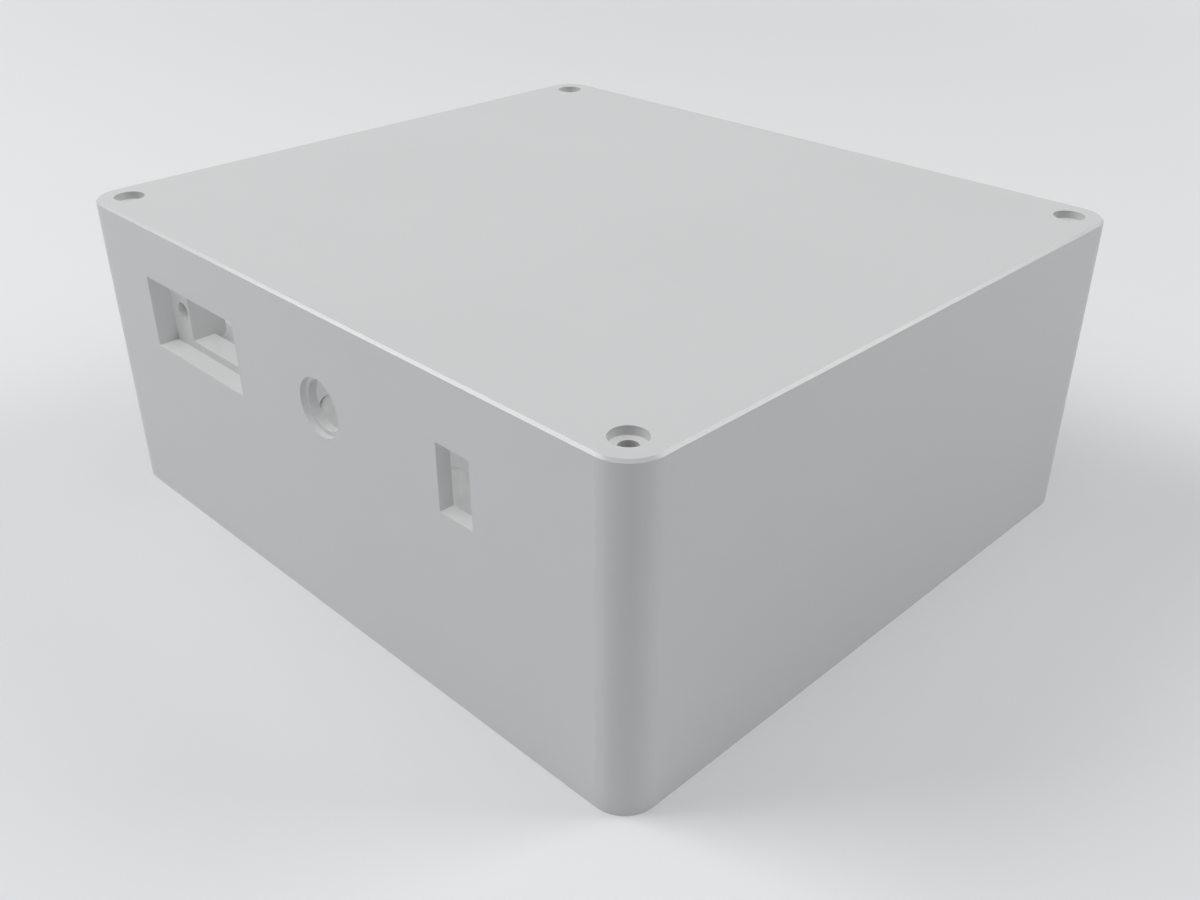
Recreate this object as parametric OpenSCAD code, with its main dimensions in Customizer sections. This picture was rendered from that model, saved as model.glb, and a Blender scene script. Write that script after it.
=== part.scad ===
// Battery pack housing: a moulded tub with a screwed lid, and round cells in holder plates inside.
// Millimetres, +Z up, front panel towards -Y, origin at the centre of the underside.

/* [Cells] */
// Diameter of a cell over its sleeve
cell_d = 18.4; // [17:0.1:22]
// Length of a cell
cell_l = 65; // [50:0.5:75]
// Free space between neighbouring cells
cell_gap = 1.6; // [1.2:0.1:4]
// Cells side by side in a row
cell_cols = 8; // [8:1:9]
// Rows of cells, one above the other
cell_rows = 3; // [2:1:3]
// Banks of cells, one behind the other
cell_banks = 2; // [1:1:2]
// Break of the edges at both ends of a cell
cell_edge = 0.6; // [0.2:0.1:1]
// Width of the terminal cap at the positive end
cap_d = 9; // [6:0.5:10]
// Width of the ring groove round the terminal cap
cap_groove_w = 2.9; // [1:0.1:3.5]
// Depth of the ring groove round the terminal cap
cap_groove_depth = 0.7; // [0.3:0.1:2]
// Depth of the crimped neck near the positive end
neck_depth = 0.5; // [0.2:0.1:1]
// Distance of the crimped neck from the positive end
neck_inset = 3.4; // [2.5:0.1:6]
// Width of the flat bottom of the crimped neck
neck_w = 0.6; // [0.3:0.1:1]

/* [Cell holders] */
// Thickness of a holder plate
holder_t = 8; // [5:0.5:14]
// Thickness of the lip that the end of a cell rests against
lip_t = 0.55; // [0.4:0.05:2]
// Width of the round window in the lip
window_d = 17; // [10:0.5:17.5]
// Clearance round a cell in its pocket
cell_fit = 0.15; // [0.05:0.05:0.25]
// Clearance between the holders and the side walls
side_gap = 0.3; // [0.1:0.1:0.5]
// Clearance between the last holder and the back wall, and between the first one and its stops
pack_gap = 0.2; // [0.1:0.1:1]
// Wall left between a corner pocket and the clipped corner of a holder
clip_web = 0.6; // [0.4:0.1:1]

/* [Housing] */
// Thickness of the side walls
wall = 3; // [2:0.1:4]
// Thickness of the floor
floor_t = 3; // [2:0.1:6]
// Radius of the upright outer corners
corner_r = 7; // [4:0.5:8]
// Radius of the upright inner corners
inner_r = 2.5; // [2:0.1:3]
// Free depth between the module block and the first holder
bay_room = 2.9; // [1:0.1:30]
// Side of a corner screw boss, from the inner wall
boss_size = 8.5; // [7:0.5:10]
// Clearance between the corner bosses and the holders
boss_gap = 0.3; // [0.2:0.1:1]
// How far the stop ribs stand out from the side walls
stop_w = 4; // [2:0.5:8]
// Thickness of the stop ribs
stop_t = 2; // [1.5:0.1:4]

/* [Lid] */
// Thickness of the lid
lid_t = 3; // [2.4:0.1:6]
// Chamfer round the top edge
edge_chamfer = 0.5; // [0.2:0.1:1.5]
// Height of the locating rim under the lid
rim_h = 2.5; // [1.5:0.1:6]
// Thickness of the locating rim
rim_t = 2; // [1.2:0.1:4]
// Clearance between the rim and the walls
rim_fit = 0.25; // [0.1:0.05:0.6]
// Clearance between the rim and the holders below it
rim_gap = 0.5; // [0.3:0.1:4]
// Distance of the screw holes from the two sides of a corner
screw_inset = 7; // [6:0.1:8]
// Diameter of the screw holes in the lid
screw_hole_d = 3.4; // [2.6:0.1:4]
// Diameter of the counterbores for the screw heads
head_d = 6.5; // [5:0.1:8]
// Depth of the counterbores
head_depth = 1.6; // [0.8:0.1:2]
// Diameter of the pilot holes that the screws cut their thread in
pilot_d = 2.5; // [2:0.1:3]

/* [Front panel] */
// Drop of the panel's centre line below the top face
panel_drop = 20; // [18:0.5:30]
// Sideways place of the module recess
recess_x = -42; // [-48:0.5:-36]
// Width of the module recess
recess_w = 34.3; // [30:0.1:38]
// Height of the module recess
recess_h = 16; // [14:0.1:20]
// Depth of the module recess down to its ledges
recess_depth = 4.5; // [3.5:0.1:8]
// Thickness of the ledges behind the recess
ledge_t = 5.2; // [3:0.1:8]
// Width of the opening between the ledges
opening_w = 19.8; // [14:0.1:20.4]
// Height of the opening between the ledges
opening_h = 12.2; // [9:0.1:13.5]
// Distance between the two insert holes in the ledges
insert_span = 25; // [24.8:0.1:26]
// Diameter of the insert holes in the ledges
insert_d = 4; // [3:0.1:4.2]
// Start of the insert bosses' sloping undersides, below the panel's centre line
insert_drop = 8.9; // [8:0.1:10]
// Wall of the block that carries the recess inside the tub
block_wall = 3; // [2:0.1:5]
// Sideways place of the jack hole
jack_x = 3.7; // [-6:0.1:12]
// Diameter of the jack hole
jack_d = 10.4; // [6:0.1:12]
// Diameter of the jack's sunk seat
jack_seat_d = 12.2; // [12.1:0.1:16]
// Depth of the jack's sunk seat
jack_seat_depth = 1.2; // [0.5:0.1:1.8]
// Sideways place of the switch slot
switch_x = 43; // [30:0.5:55]
// Width of the switch slot
switch_w = 8.65; // [6:0.05:14]
// Height of the switch slot
switch_h = 13.65; // [10:0.05:20]

/* [Hidden] */
$fn = 96;
// How far a cutting shape runs past the face that it cuts
over = 1;

// The pack of cells and holders
pitch = cell_d + cell_gap;
pocket_d = cell_d + 2 * cell_fit;
bank_l = cell_l + 2 * lip_t;
pack_w = cell_cols * pitch;
pack_l = cell_banks * bank_l;
pack_h = cell_rows * pitch;
cell_count = cell_cols * cell_rows * cell_banks;
holder_count = 2 * cell_banks;
holder_w = pack_w - 2 * side_gap;
holder_edge_r = inner_r - side_gap - pack_gap;
holder_clip = pitch - side_gap - (pocket_d / 2 + clip_web) * sqrt(2);

// The space inside the tub and the outside of the housing
bay_d = recess_depth + ledge_t - wall + bay_room;
inner_w = pack_w;
inner_d = bay_d + pack_l + pack_gap;
inner_h = pack_h + rim_gap + rim_h;
body_w = inner_w + 2 * wall;
body_d = inner_d + 2 * wall;
tub_h = floor_t + inner_h;
body_h = tub_h + lid_t;

// Places that several pieces share
front_y = -body_d / 2;
pack_y = inner_d / 2 - pack_gap - pack_l;
pack_top = floor_t + pack_h;
panel_z = body_h - panel_drop;
screw_x = body_w / 2 - screw_inset;
screw_y = body_d / 2 - screw_inset;

function two_digits(i) = i < 10 ? str("0", i) : str(i);
function holder_name(i) = str("cell_holder_", i);
function cell_name(i) = str("cell_", two_digits(i));

// Rectangle with round corners, about the origin
module rounded_rect(w, d, r) {
    square([w - 2 * r, d], center = true);
    square([w, d - 2 * r], center = true);
    for (x = [-1, 1], y = [-1, 1])
        translate([x * (w / 2 - r), y * (d / 2 - r)]) circle(r);
}

// Slab with round corners whose sides lean in at 45 degrees over its whole height
module chamfered_slab(w, d, r, c) {
    translate([r - w / 2, 0, 0])
        rotate([90, 0, 90])
        linear_extrude(w - 2 * r)
        polygon([[-d / 2, 0], [d / 2, 0], [d / 2 - c, c], [c - d / 2, c]]);
    translate([0, d / 2 - r, 0])
        rotate([90, 0, 0])
        linear_extrude(d - 2 * r)
        polygon([[-w / 2, 0], [w / 2, 0], [w / 2 - c, c], [c - w / 2, c]]);
    for (x = [-1, 1], y = [-1, 1])
        translate([x * (w / 2 - r), y * (d / 2 - r), 0]) cylinder(h = c, r1 = r, r2 = r - c);
}

// The same shape in all four corners, seen from above
module at_corners() {
    for (mx = [0, 1], my = [0, 1])
        mirror([mx, 0, 0]) mirror([0, my, 0]) children();
}

// Upright rod on each lid screw's axis, between two heights
module screw_rods(d, z0, z1) {
    for (x = [-1, 1], y = [-1, 1])
        translate([x * screw_x, y * screw_y, z0]) cylinder(h = z1 - z0, d = d);
}

// Block on the panel's centre line, between two depths behind the front face
module panel_block(x, w, h, from, to) {
    translate([x - w / 2, front_y + from, panel_z - h / 2]) cube([w, to - from, h]);
}

// Rod on the panel's centre line, between two depths behind the front face
module panel_rod(x, d, from, to) {
    translate([x, front_y + from, panel_z]) rotate([-90, 0, 0]) cylinder(h = to - from, d = d);
}

// Corner boss for a lid screw, with a 45 degree underside that clears the clipped holders
module corner_boss() {
    tab_x = inner_w / 2 - boss_size;
    tab_z = pack_top + boss_gap;
    wall_x = inner_w / 2 + over;
    slope = holder_w / 2 + pack_top - holder_clip + boss_gap * sqrt(2);
    translate([0, inner_d / 2 + over, 0])
        rotate([90, 0, 0])
        linear_extrude(boss_size + over)
        polygon([
            [tab_x, tub_h + over], [tab_x, tab_z], [slope - tab_z, tab_z],
            [wall_x, slope - wall_x], [wall_x, tub_h + over]
        ]);
}

// Ribs on the side walls that keep the pack out of the front bay
module stop_ribs() {
    rib_y = pack_y - pack_gap - stop_t;
    for (m = [0, 1])
        mirror([m, 0, 0])
        translate([inner_w / 2 - stop_w, rib_y, 0])
        cube([stop_w + over, stop_t, pack_top - pitch / 2]);
}

// Bosses behind the ledges for the inserts, with a 45 degree underside; they end just short of the first holder
module insert_bosses() {
    boss_y = front_y + recess_depth + ledge_t;
    boss_w = (recess_w - opening_w) / 2 + block_wall;
    boss_top = panel_z + recess_h / 2 + block_wall;
    foot_z = panel_z - insert_drop;
    reach = bay_room - pack_gap;
    for (side = [-1, 1])
        translate([recess_x + side * (opening_w + boss_w) / 2 - boss_w / 2, 0, 0])
        rotate([90, 0, 90])
        linear_extrude(boss_w)
        polygon([
            [boss_y - over, foot_z - over], [boss_y + reach, foot_z + reach],
            [boss_y + reach, boss_top], [boss_y - over, boss_top]
        ]);
}

// Space inside the tub, open at the top, without what stands on its walls
module tub_space() {
    difference() {
        translate([0, 0, floor_t])
            linear_extrude(inner_h + over)
            rounded_rect(inner_w, inner_d, inner_r);
        at_corners() corner_boss();
        stop_ribs();
        panel_block(recess_x, recess_w + 2 * block_wall, recess_h + 2 * block_wall, 0, recess_depth + ledge_t);
        insert_bosses();
    }
}

// Stepped recess for a screwed-in module, with a hole for an insert in each ledge and the boss behind it
module module_recess() {
    panel_block(recess_x, recess_w, recess_h, -over, recess_depth);
    panel_block(recess_x, opening_w, opening_h, -over, recess_depth + ledge_t + over);
    for (side = [-1, 1])
        panel_rod(recess_x + side * insert_span / 2, insert_d, recess_depth - over, wall + bay_d);
}

// Through hole with a sunk seat for a round jack
module jack_hole() {
    panel_rod(jack_x, jack_seat_d, -over, jack_seat_depth);
    panel_rod(jack_x, jack_d, -over, wall + over);
}

module housing_body() {
    color("gainsboro")
        difference() {
            linear_extrude(tub_h) rounded_rect(body_w, body_d, corner_r);
            tub_space();
            module_recess();
            jack_hole();
            panel_block(switch_x, switch_w, switch_h, -over, wall + over);
            screw_rods(pilot_d, pack_top - pitch / 2, tub_h + over);
        }
}

// Bars under the lid that fit inside the four walls, between the corner bosses
module lid_rim() {
    bar_x = inner_w - 2 * (boss_size + rim_fit);
    bar_y = inner_d - 2 * (boss_size + rim_fit);
    for (side = [-1, 1]) {
        translate([-bar_x / 2, side * (inner_d / 2 - rim_fit - rim_t / 2) - rim_t / 2, tub_h - rim_h])
            cube([bar_x, rim_t, rim_h + over]);
        translate([side * (inner_w / 2 - rim_fit - rim_t / 2) - rim_t / 2, -bar_y / 2, tub_h - rim_h])
            cube([rim_t, bar_y, rim_h + over]);
    }
}

module lid() {
    color("gainsboro")
        difference() {
            union() {
                translate([0, 0, tub_h])
                    linear_extrude(lid_t - edge_chamfer)
                    rounded_rect(body_w, body_d, corner_r);
                translate([0, 0, body_h - edge_chamfer])
                    chamfered_slab(body_w, body_d, corner_r, edge_chamfer);
                lid_rim();
            }
            screw_rods(screw_hole_d, tub_h - over, body_h + over);
            screw_rods(head_d, body_h - head_depth, body_h + over);
        }
}

// Sideways and upward place of a cell in its bank
function cell_x(col) = (col - (cell_cols - 1) / 2) * pitch;
function cell_z(row) = floor_t + (row + 0.5) * pitch;

// Holder with its lip at y = 0 and its pockets open towards +Y
module holder_plate() {
    difference() {
        translate([0, holder_t / 2, floor_t])
            linear_extrude(pack_h)
            rounded_rect(holder_w, holder_t, holder_edge_r);
        for (col = [0:cell_cols - 1], row = [0:cell_rows - 1])
            translate([cell_x(col), 0, cell_z(row)])
                rotate([-90, 0, 0]) {
                    translate([0, 0, -over]) cylinder(h = holder_t, d = window_d);
                    translate([0, 0, lip_t]) cylinder(h = holder_t, d = pocket_d);
                }
        for (side = [-1, 1], z = [floor_t, pack_top])
            translate([side * holder_w / 2, 0, z])
                rotate([0, 45, 0])
                cube([holder_clip * sqrt(2), 4 * holder_t, holder_clip * sqrt(2)], center = true);
    }
}

// Holders are numbered from the front: the odd ones close a bank's front, the even ones its back
module cell_holder(i) {
    bank = floor((i - 1) / 2);
    at_back = (i - 1) % 2;
    color("lightgray")
        translate([0, pack_y + (bank + at_back) * bank_l, 0])
        mirror([0, at_back, 0])
        holder_plate();
}

// Cell along +Z from its flat end at z = 0 to its terminal cap
module cell_shape() {
    r = cell_d / 2;
    neck_z = cell_l - neck_inset;
    groove_z = cell_l - cap_groove_depth;
    rotate_extrude()
        polygon([
            [0, 0], [r - cell_edge, 0], [r, cell_edge],
            [r, neck_z - neck_depth], [r - neck_depth, neck_z],
            [r - neck_depth, neck_z + neck_w], [r, neck_z + neck_w + neck_depth],
            [r, cell_l - cell_edge], [r - cell_edge, cell_l],
            [cap_d / 2 + cap_groove_w, cell_l], [cap_d / 2 + cap_groove_w, groove_z],
            [cap_d / 2, groove_z], [cap_d / 2, cell_l], [0, cell_l]
        ]);
}

// Cells are numbered along a row, then row by row upwards, then bank by bank; every second column is turned round
module cell(i) {
    col = (i - 1) % cell_cols;
    row = floor((i - 1) / cell_cols) % cell_rows;
    bank = floor((i - 1) / (cell_cols * cell_rows));
    turned = (col + 1) % 2;
    color("darkgray")
        translate([cell_x(col), pack_y + (bank + 0.5) * bank_l, cell_z(row)])
        mirror([0, turned, 0])
        rotate([-90, 0, 0])
        translate([0, 0, -cell_l / 2])
        cell_shape();
}

housing_body();
lid();
for (i = [1:holder_count])
    cell_holder(i);
for (i = [1:cell_count])
    cell(i);
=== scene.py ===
"""Studio scene of a battery pack housing: the finishes of its solids, the light, the floor and the camera.

Metres, +Z up, the front panel towards -Y, in the same frame as the solids.
"""

from __future__ import annotations

import logging
import math
from dataclasses import dataclass, field, replace
from enum import Enum
from typing import Any

import bpy
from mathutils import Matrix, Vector


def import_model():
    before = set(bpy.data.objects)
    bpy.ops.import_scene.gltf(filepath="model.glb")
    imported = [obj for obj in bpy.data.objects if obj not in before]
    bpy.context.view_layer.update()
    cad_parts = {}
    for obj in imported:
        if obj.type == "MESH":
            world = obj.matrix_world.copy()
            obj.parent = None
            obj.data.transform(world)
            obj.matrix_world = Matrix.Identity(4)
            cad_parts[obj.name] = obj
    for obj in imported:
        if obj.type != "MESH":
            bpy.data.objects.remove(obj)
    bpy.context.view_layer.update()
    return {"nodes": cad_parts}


LOG = logging.getLogger("battery_pack_housing")
MM = 0.001
# Sockets of a colour mix, which share their names with those of other kinds of mix
MIX_FROM, MIX_TO, MIX_RESULT = 6, 7, 2
# Layers of ever finer noise in each pattern
CLOUD_DETAIL, GRAIN_DETAIL, SCUFF_DETAIL = 3.0, 2.0, 4.0
# How far the normal of a 45 degree chamfer rises, and by how much it may differ
CHAMFER_RISE = math.sin(math.radians(45))
CHAMFER_RISE_BAND = 0.1
# Open share of the view from a place deep in a narrow hole, and from one that is in no such hole, between
# which the painted hole shade fades out
HOLE_VIEW, OPEN_VIEW = 0.1, 0.4
# Factor and offset that turn a cell's coordinates, 0 to 1 over its box, into the place across its axis
ACROSS_AXIS, AXIS_OFFSET = (1.0, 0.0, 1.0), (-0.5, 0.0, -0.5)

Colour = tuple[float, float, float, float]
Point = tuple[float, float, float]


def linear(hex_colour: str) -> Colour:
    """Turns an sRGB hex value into a linear colour, by the numbers of the sRGB standard.

    Args:
        hex_colour: A hash and six hex digits.

    Returns:
        Red, green, blue and a full alpha.
    """
    shares = [int(hex_colour[i : i + 2], 16) / 255 for i in (1, 3, 5)]
    red, green, blue = (s / 12.92 if s <= 0.04045 else ((s + 0.055) / 1.055) ** 2.4 for s in shares)
    return red, green, blue, 1.0


def per_metre(size_mm: float) -> float:
    """Scale of a pattern whose features are that many millimetres across."""
    return 1.0 / (size_mm * MM)


def add_node(
    tree: bpy.types.NodeTree, kind: str, inputs: dict[str | int, Any], **settings: Any
) -> bpy.types.Node:
    """Adds one shader node with its settings, constants and incoming links.

    Args:
        tree: The node tree that gets the node.
        kind: Blender's name for the type of node.
        inputs: A constant, or the socket to link from, for each input by its name or number.
        **settings: The node's own properties.

    Returns:
        The new node.
    """
    node = tree.nodes.new(kind)
    for name, value in settings.items():
        setattr(node, name, value)
    for socket, value in inputs.items():
        if isinstance(value, bpy.types.NodeSocket):
            tree.links.new(value, node.inputs[socket])
        else:
            node.inputs[socket].default_value = value
    return node


def new_surface(name: str) -> tuple[bpy.types.Material, bpy.types.NodeTree, bpy.types.NodeSocket]:
    """Starts an empty material.

    Args:
        name: The material's name.

    Returns:
        The material, its node tree and its surface socket.
    """
    material = bpy.data.materials.new(name)
    material.use_nodes = True
    tree = material.node_tree
    tree.nodes.clear()
    output = add_node(tree, "ShaderNodeOutputMaterial", {})
    return material, tree, output.inputs["Surface"]


class Slot(Enum):
    """The record's finishes, by the names that it gives them."""

    HOUSING = "housing"
    HOLDER = "holder"
    CELL = "cell"


def wear(piece: bpy.types.Object, material: bpy.types.Material) -> None:
    """Puts one material on a solid.

    Args:
        piece: The solid's object.
        material: What it is to wear.
    """
    for place in piece.material_slots:
        place.link = "OBJECT"
        place.material = material
    LOG.info("%s wears %s", piece.name, material.name)


@dataclass(frozen=True)
class MouldedPlastic:
    """A thermoplastic moulded against a spark-eroded tool.

    To the eye it is an even satin: a fine pebble grain spreads the highlights, and slow, faint clouds
    follow the way the melt ran. A chamfer, where the piece has one, is smoother, because the tool is eroded
    on its flat faces only, so it catches the light as a paler line. Deep, narrow holes and gaps get painted
    shade in the colour, because much of the studio's light reaches into them unshaded.
    """

    name: str
    colour: str
    cloud_colour: str
    ior: float
    roughness: float
    roughness_swing: float
    grain_mm: float
    grain_height_mm: float
    cloud_mm: float
    # Share of its colour that the plastic keeps under the painted shade deep in a narrow hole, where the
    # piece has one
    hole_shade: float | None = None
    # Distance within which the walls of a hole count
    hole_depth_mm: float = 5.0
    # Whether the painted hole shade counts the pieces nearby too, as the holes run on into the piece below
    holes_run_on: bool = False
    chamfer_roughness: float | None = None

    def material(self) -> bpy.types.Material:
        """Builds the material of this plastic.

        Returns:
            The new material.
        """
        material, tree, surface = new_surface(self.name)
        place = add_node(tree, "ShaderNodeTexCoord", {}).outputs["Object"]
        clouds = add_node(
            tree,
            "ShaderNodeTexNoise",
            {"Vector": place, "Scale": per_metre(self.cloud_mm), "Detail": CLOUD_DETAIL},
        ).outputs["Fac"]
        grain = add_node(
            tree,
            "ShaderNodeTexNoise",
            {"Vector": place, "Scale": per_metre(self.grain_mm), "Detail": GRAIN_DETAIL},
        ).outputs["Fac"]
        pebbles = add_node(
            tree,
            "ShaderNodeBump",
            {"Height": grain, "Distance": self.grain_height_mm * MM, "Strength": 1.0},
        ).outputs["Normal"]
        shader = add_node(
            tree,
            "ShaderNodeBsdfPrincipled",
            {
                "Base Color": self.tone(tree, clouds),
                "Roughness": self.satin(tree, clouds),
                "IOR": self.ior,
                "Normal": pebbles,
            },
        )
        tree.links.new(shader.outputs["BSDF"], surface)
        return material

    def tone(self, tree: bpy.types.NodeTree, clouds: bpy.types.NodeSocket) -> bpy.types.NodeSocket:
        """Mixes the colour of the plastic with its clouds, and paints shade into its narrow holes.

        Args:
            tree: The node tree of the material.
            clouds: The pattern of the clouds.

        Returns:
            The socket that gives the colour.
        """
        open_tone = add_node(
            tree,
            "ShaderNodeMix",
            {"Factor": clouds, MIX_FROM: linear(self.colour), MIX_TO: linear(self.cloud_colour)},
            data_type="RGBA",
        ).outputs[MIX_RESULT]
        if self.hole_shade is None:
            return open_tone
        # Painted shade: the colour is darkened where little of the view near the surface is open
        view = add_node(
            tree,
            "ShaderNodeAmbientOcclusion",
            {"Distance": self.hole_depth_mm * MM},
            only_local=not self.holes_run_on,
        ).outputs["AO"]
        shade = add_node(
            tree,
            "ShaderNodeMapRange",
            {"Value": view, "From Min": HOLE_VIEW, "From Max": OPEN_VIEW, "To Min": self.hole_shade},
        ).outputs["Result"]
        return add_node(
            tree,
            "ShaderNodeMix",
            {"Factor": 1.0, MIX_FROM: open_tone, MIX_TO: shade},
            data_type="RGBA",
            blend_type="MULTIPLY",
        ).outputs[MIX_RESULT]

    def satin(self, tree: bpy.types.NodeTree, clouds: bpy.types.NodeSocket) -> bpy.types.NodeSocket:
        """Works out the roughness of the faces, and of the chamfer where it has its own.

        Args:
            tree: The node tree of the material.
            clouds: The pattern of the clouds, which the roughness follows.

        Returns:
            The socket that gives the roughness.
        """
        on_faces = add_node(
            tree,
            "ShaderNodeMapRange",
            {
                "Value": clouds,
                "To Min": self.roughness - self.roughness_swing,
                "To Max": self.roughness + self.roughness_swing,
            },
        ).outputs["Result"]
        if self.chamfer_roughness is None:
            return on_faces
        facing = add_node(tree, "ShaderNodeNewGeometry", {}).outputs["True Normal"]
        rise = add_node(tree, "ShaderNodeSeparateXYZ", {"Vector": facing}).outputs["Z"]
        chamfer = add_node(
            tree,
            "ShaderNodeMath",
            {0: rise, 1: CHAMFER_RISE, 2: CHAMFER_RISE_BAND},
            operation="COMPARE",
        ).outputs["Value"]
        return add_node(
            tree,
            "ShaderNodeMapRange",
            {"Value": chamfer, "To Min": on_faces, "To Max": self.chamfer_roughness},
        ).outputs["Result"]


@dataclass(frozen=True)
class SleevedCan:
    """A drawn, nickel-plated steel can in a shrunk PVC sleeve.

    To the eye the side is a smooth plastic film that laps round the rim, and each end is a bare disc of
    pale, slightly scuffed metal.
    """

    name: str
    sleeve_colour: str
    sleeve_ior: float
    sleeve_roughness: float
    steel_colour: str
    scuff_colour: str
    steel_roughness: float
    scuff_roughness: float
    scuff_mm: float
    can_mm: float
    bare_mm: float

    def material(self) -> bpy.types.Material:
        """Builds the material of a cell, whose bare ends lie nearer to its axis than its sleeve.

        Returns:
            The new material.
        """
        material, tree, surface = new_surface(self.name)
        coordinates = add_node(tree, "ShaderNodeTexCoord", {}).outputs
        across = add_node(
            tree,
            "ShaderNodeVectorMath",
            {0: coordinates["Generated"], 1: ACROSS_AXIS, 2: AXIS_OFFSET},
            operation="MULTIPLY_ADD",
        ).outputs["Vector"]
        radius = add_node(tree, "ShaderNodeVectorMath", {0: across}, operation="LENGTH").outputs["Value"]
        bare = add_node(
            tree, "ShaderNodeMath", {0: radius, 1: self.bare_mm / self.can_mm / 2}, operation="LESS_THAN"
        ).outputs["Value"]
        scuffs = add_node(
            tree,
            "ShaderNodeTexNoise",
            {"Vector": coordinates["Object"], "Scale": per_metre(self.scuff_mm), "Detail": SCUFF_DETAIL},
        ).outputs["Fac"]
        steel_tone = add_node(
            tree,
            "ShaderNodeMix",
            {"Factor": scuffs, MIX_FROM: linear(self.steel_colour), MIX_TO: linear(self.scuff_colour)},
            data_type="RGBA",
        ).outputs[MIX_RESULT]
        tone = add_node(
            tree,
            "ShaderNodeMix",
            {"Factor": bare, MIX_FROM: linear(self.sleeve_colour), MIX_TO: steel_tone},
            data_type="RGBA",
        ).outputs[MIX_RESULT]
        steel_satin = add_node(
            tree,
            "ShaderNodeMapRange",
            {"Value": scuffs, "To Min": self.steel_roughness, "To Max": self.scuff_roughness},
        ).outputs["Result"]
        satin = add_node(
            tree,
            "ShaderNodeMapRange",
            {"Value": bare, "To Min": self.sleeve_roughness, "To Max": steel_satin},
        ).outputs["Result"]
        shader = add_node(
            tree,
            "ShaderNodeBsdfPrincipled",
            {"Base Color": tone, "Metallic": bare, "Roughness": satin, "IOR": self.sleeve_ior},
        )
        tree.links.new(shader.outputs["BSDF"], surface)
        return material


# Acrylonitrile butadiene styrene: a neutral light grey. The grain of such a tool is about 0.15 mm across,
# and is drawn coarser here because it would otherwise be too fine to show.
HOUSING_ABS = MouldedPlastic(
    name="light_grey_moulded_abs",
    colour="#cecece",
    cloud_colour="#cacaca",
    ior=1.54,
    roughness=0.52,
    roughness_swing=0.05,
    grain_mm=0.5,
    grain_height_mm=0.006,
    cloud_mm=55.0,
    # Painted shade deep in the narrow holes
    hole_shade=0.35,
)

# The same plastic on the lid, whose chamfer the tool leaves smooth, and whose holes run on into the tub, so
# its painted hole shade counts the tub and the pieces near it too.
LID_ABS = replace(
    HOUSING_ABS,
    name="light_grey_moulded_abs_chamfered",
    holes_run_on=True,
    chamfer_roughness=0.27,
)

# Polycarbonate and ABS blend: a paler grey, and glossier, from a finer tool. Its grain is drawn coarser too.
HOLDER_BLEND = MouldedPlastic(
    name="pale_grey_pc_abs",
    colour="#d7d8d9",
    cloud_colour="#d2d3d4",
    ior=1.56,
    roughness=0.38,
    roughness_swing=0.04,
    grain_mm=0.4,
    grain_height_mm=0.004,
    cloud_mm=25.0,
)

# Nickel-plated steel in a light grey PVC film: dull metal discs, each framed by a smooth ring.
CELL_CAN = SleevedCan(
    name="sleeved_nickel_plated_steel",
    sleeve_colour="#c6c8ca",
    sleeve_ior=1.53,
    sleeve_roughness=0.32,
    steel_colour="#dedfdf",
    scuff_colour="#d0d1d1",
    steel_roughness=0.62,
    scuff_roughness=0.76,
    scuff_mm=3.0,
    can_mm=18.4,
    bare_mm=15.6,
)


@dataclass
class Housing:
    """The moulded tub and the lid that is screwed to it."""

    nodes: dict[str, bpy.types.Object]
    tub_name: str = "housing_body"
    lid_name: str = "lid"
    tub_finish: MouldedPlastic = HOUSING_ABS
    lid_finish: MouldedPlastic = LID_ABS

    def dress(self) -> None:
        """Gives the tub and the lid their plastic."""
        wear(self.nodes[self.tub_name], self.tub_finish.material())
        wear(self.nodes[self.lid_name], self.lid_finish.material())


@dataclass
class CellPack:
    """The round cells and the plates that hold their ends."""

    nodes: dict[str, bpy.types.Object]
    holder_finish: MouldedPlastic = HOLDER_BLEND
    cell_finish: SleevedCan = CELL_CAN
    holder_prefix: str = "cell_holder_"
    cell_prefix: str = "cell_"
    holders: list[bpy.types.Object] = field(init=False)
    cells: list[bpy.types.Object] = field(init=False)

    def __post_init__(self) -> None:
        """Sorts the pack's solids into holders and cells by their names."""
        names = sorted(n for n in self.nodes if n.startswith(self.cell_prefix))
        self.holders = [self.nodes[n] for n in names if n.startswith(self.holder_prefix)]
        self.cells = [self.nodes[n] for n in names if not n.startswith(self.holder_prefix)]

    def dress(self) -> None:
        """Gives the holders their plastic and the cells their sleeve and steel."""
        holder_material = self.holder_finish.material()
        cell_material = self.cell_finish.material()
        for holder in self.holders:
            wear(holder, holder_material)
        for cell in self.cells:
            wear(cell, cell_material)


def members(name: str, objects: list[bpy.types.Object]) -> bpy.types.Collection:
    """Gathers objects in a collection, for a lamp to refer to.

    Args:
        name: The collection's name.
        objects: What it holds.

    Returns:
        The new collection.
    """
    collection = bpy.data.collections.new(name)
    for item in objects:
        collection.objects.link(item)
    return collection


def seen_ray(tree: bpy.types.NodeTree) -> bpy.types.NodeSocket:
    """Tells the rays that the eye or a reflection follows from those that carry light.

    Args:
        tree: The node tree that asks.

    Returns:
        A socket that is 1 for such a ray and 0 for the others.
    """
    ray = add_node(tree, "ShaderNodeLightPath", {}).outputs
    mirrored = add_node(
        tree,
        "ShaderNodeMath",
        {0: ray["Is Glossy Ray"], 1: ray["Is Transmission Ray"]},
        operation="MAXIMUM",
    ).outputs["Value"]
    return add_node(
        tree, "ShaderNodeMath", {0: ray["Is Camera Ray"], 1: mirrored}, operation="MAXIMUM"
    ).outputs["Value"]


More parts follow.
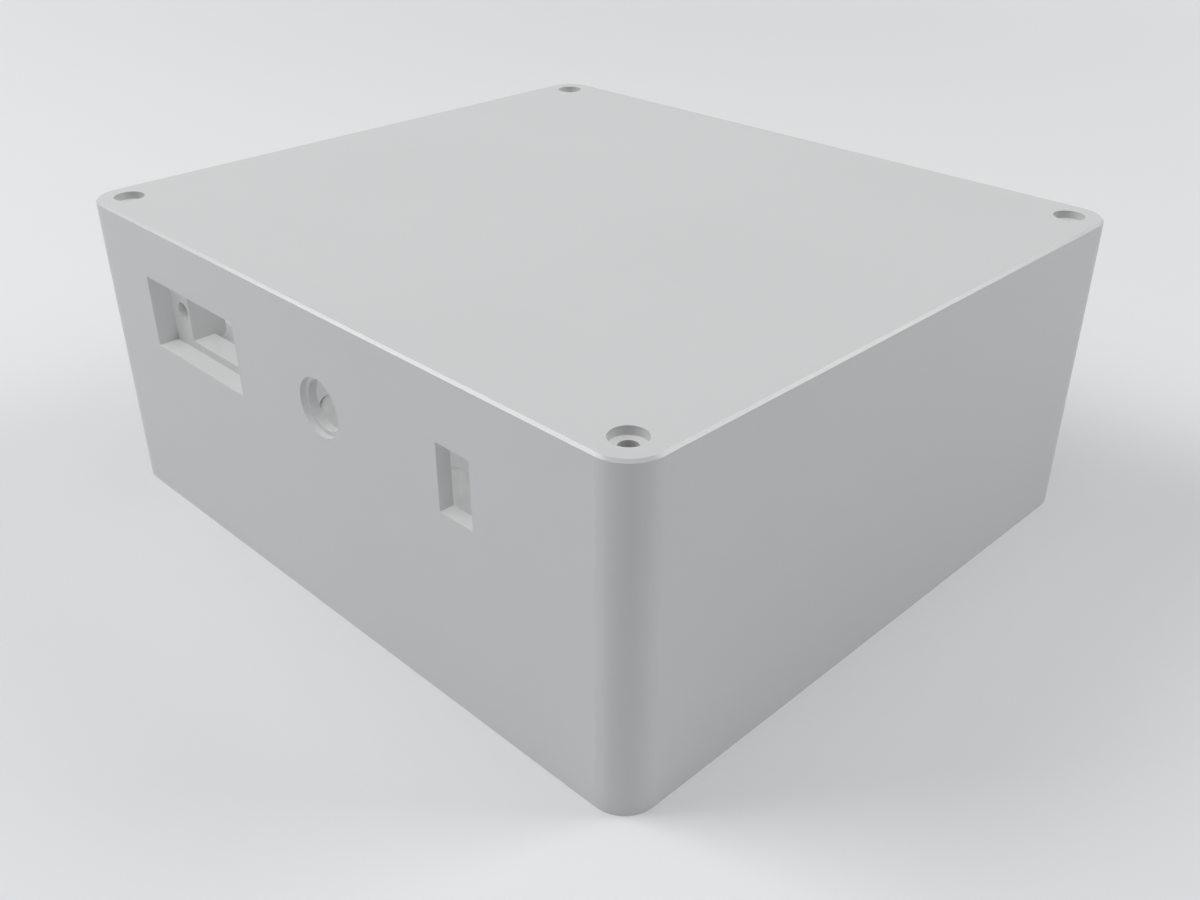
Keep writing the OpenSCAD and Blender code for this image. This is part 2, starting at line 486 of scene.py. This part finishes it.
@dataclass(frozen=True)
class Softbox:
    """A square lamp with a diffuser, turned towards a point."""

    name: str
    place: Point
    side: float
    # Share of a white sheet's full brightness that the lamp gives to a surface turned towards it
    level: float
    colour: str = "#ffffff"

    def build(
        self, target: Point, lit: bpy.types.Collection, shading: bpy.types.Collection, share: float = 1.0
    ) -> None:
        """Makes the lamp, which the camera doesn't see.

        Args:
            target: The point that the lamp looks at.
            lit: What the lamp lights.
            shading: What casts a shadow in its light.
            share: How much of the lamp's level this light has.
        """
        lamp = bpy.data.lights.new(self.name, "AREA")
        away = Vector(self.place) - Vector(target)
        lamp.size = self.side
        # The watts at which a white sheet at the target has a brightness of 1, times the level
        lamp.energy = share * self.level * (math.pi * away.length) ** 2
        lamp.color = linear(self.colour)[:3]
        stand = bpy.data.objects.new(self.name, lamp)
        stand.location = self.place
        stand.rotation_euler = away.to_track_quat("Z", "Y").to_euler()
        stand.visible_camera = False
        stand.light_linking.receiver_collection = lit
        stand.light_linking.blocker_collection = shading
        bpy.context.scene.collection.objects.link(stand)
        LOG.info("lamp %s of %.1f W on %s", self.name, lamp.energy, lit.name)


@dataclass
class Studio:
    """A pale floor under soft lamps, in a room of even pale light."""

    floor_colour: str = "#e6e7e8"
    floor_roughness: float = 0.75
    floor_side: float = 12.0
    # Distances from the part between which the floor runs out into the backdrop
    sweep_from: float = 0.3
    sweep_to: float = 1.2
    backdrop_colour: str = "#e6e7e8"
    backdrop_strength: float = 1.0
    room_colour: str = "#f4f6fa"
    room_level: float = 0.28
    target: Point = (0.0, 0.0, 0.035)
    key: Softbox = Softbox("key", (-0.86, -0.7, 1.03), 0.85, 0.53)
    back: Softbox = Softbox("back", (0.75, 0.94, 0.92), 0.7, 0.32)
    overhead: Softbox = Softbox("overhead", (0.15, -0.1, 1.47), 1.1, 0.23)
    # Lights the pack from low in front, where neither the floor nor the housing shades it
    inside: Softbox = Softbox("inside", (-0.5, -0.95, -0.08), 0.5, 0.17)
    # Share of each lamp's light that the part doesn't shade itself from
    fill_share: float = 0.64

    def build_floor(self) -> bpy.types.Object:
        """Lays the floor that the part stands on.

        Returns:
            The floor's object.
        """
        half = self.floor_side / 2
        corners = [(-half, -half, 0), (half, -half, 0), (half, half, 0), (-half, half, 0)]
        mesh = bpy.data.meshes.new("floor")
        mesh.from_pydata(corners, [], [(0, 1, 2, 3)])
        material, tree, surface = new_surface("pale_paper_sweep")
        place = add_node(tree, "ShaderNodeTexCoord", {}).outputs["Object"]
        distance = add_node(tree, "ShaderNodeVectorMath", {0: place}, operation="LENGTH").outputs["Value"]
        run_out = add_node(
            tree,
            "ShaderNodeMapRange",
            {"Value": distance, "From Min": self.sweep_from, "From Max": self.sweep_to},
            interpolation_type="SMOOTHSTEP",
        ).outputs["Result"]
        share = add_node(
            tree, "ShaderNodeMath", {0: run_out, 1: seen_ray(tree)}, operation="MULTIPLY"
        ).outputs["Value"]
        paper = add_node(
            tree,
            "ShaderNodeBsdfPrincipled",
            {"Base Color": linear(self.floor_colour), "Roughness": self.floor_roughness},
        ).outputs["BSDF"]
        far_paper = add_node(
            tree,
            "ShaderNodeEmission",
            {"Color": linear(self.backdrop_colour), "Strength": self.backdrop_strength},
        ).outputs["Emission"]
        both = add_node(tree, "ShaderNodeMixShader", {0: share, 1: paper, 2: far_paper})
        tree.links.new(both.outputs["Shader"], surface)
        mesh.materials.append(material)
        floor = bpy.data.objects.new("floor", mesh)
        bpy.context.scene.collection.objects.link(floor)
        return floor

    def build_room(self) -> None:
        """Fills the room with even light, and shows the eye and the reflections a pale backdrop."""
        world = bpy.data.worlds.new("room")
        world.use_nodes = True
        tree = world.node_tree
        tree.nodes.clear()
        light = add_node(
            tree,
            "ShaderNodeBackground",
            {"Color": linear(self.room_colour), "Strength": self.room_level},
        ).outputs["Background"]
        backdrop = add_node(
            tree,
            "ShaderNodeBackground",
            {"Color": linear(self.backdrop_colour), "Strength": self.backdrop_strength},
        ).outputs["Background"]
        both = add_node(tree, "ShaderNodeMixShader", {0: seen_ray(tree), 1: light, 2: backdrop})
        add_node(tree, "ShaderNodeOutputWorld", {"Surface": both.outputs["Shader"]})
        bpy.context.scene.world = world

    def build_lamps(self, pieces: list[bpy.types.Object], pack: CellPack, floor: bpy.types.Object) -> None:
        """Hangs the lamps.

        The part doesn't shade most of their light, so that it reaches into the recesses and openings, which
        the photograph shows evenly lit. One more lamp lights the pack alone.

        Args:
            pieces: The solids of the part.
            pack: The cells and holders inside it.
            floor: What the part stands on.
        """
        part_members = members("part", pieces)
        pack_members = members("pack", pack.holders + pack.cells)
        floor_members = members("floor", [floor])
        for box in (self.key, self.back, self.overhead):
            box.build(self.target, lit=part_members, shading=floor_members, share=self.fill_share)
            box.build(self.target, lit=part_members, shading=part_members, share=1 - self.fill_share)
            box.build(self.target, lit=floor_members, shading=part_members)
        self.inside.build(self.target, lit=pack_members, shading=pack_members)


@dataclass(frozen=True)
class PhotoCamera:
    """The camera of the photograph, as found from the edges of the box."""

    place_mm: Point = (183.06, -179.88, 156.48)
    azimuth_deg: float = 45.0
    elevation_deg: float = 30.0
    upright_view_deg: float = 40.0
    nearest_mm: float = 10.0
    picture_w: int = 1200
    picture_h: int = 900

    def build(self) -> None:
        """Makes the camera and hands it to the scene."""
        data = bpy.data.cameras.new("camera")
        data.sensor_fit = "HORIZONTAL"
        half_h = math.tan(math.radians(self.upright_view_deg) / 2)
        data.angle = 2 * math.atan(half_h * self.picture_w / self.picture_h)
        data.clip_start = self.nearest_mm * MM
        camera = bpy.data.objects.new("camera", data)
        camera.location = Vector(self.place_mm) * MM
        camera.rotation_euler = (math.radians(90 - self.elevation_deg), 0, math.radians(self.azimuth_deg))
        bpy.context.scene.collection.objects.link(camera)
        bpy.context.scene.camera = camera


def main() -> None:
    """Dresses the solids and builds the studio round them."""
    logging.basicConfig(level=logging.INFO, format="%(message)s")
    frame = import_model()
    bpy.context.scene.view_settings.view_transform = "Standard"
    Housing(frame["nodes"]).dress()
    pack = CellPack(frame["nodes"])
    pack.dress()
    studio = Studio()
    floor = studio.build_floor()
    studio.build_room()
    studio.build_lamps(list(frame["nodes"].values()), pack, floor)
    PhotoCamera().build()


if __name__ == "__main__":
    main()
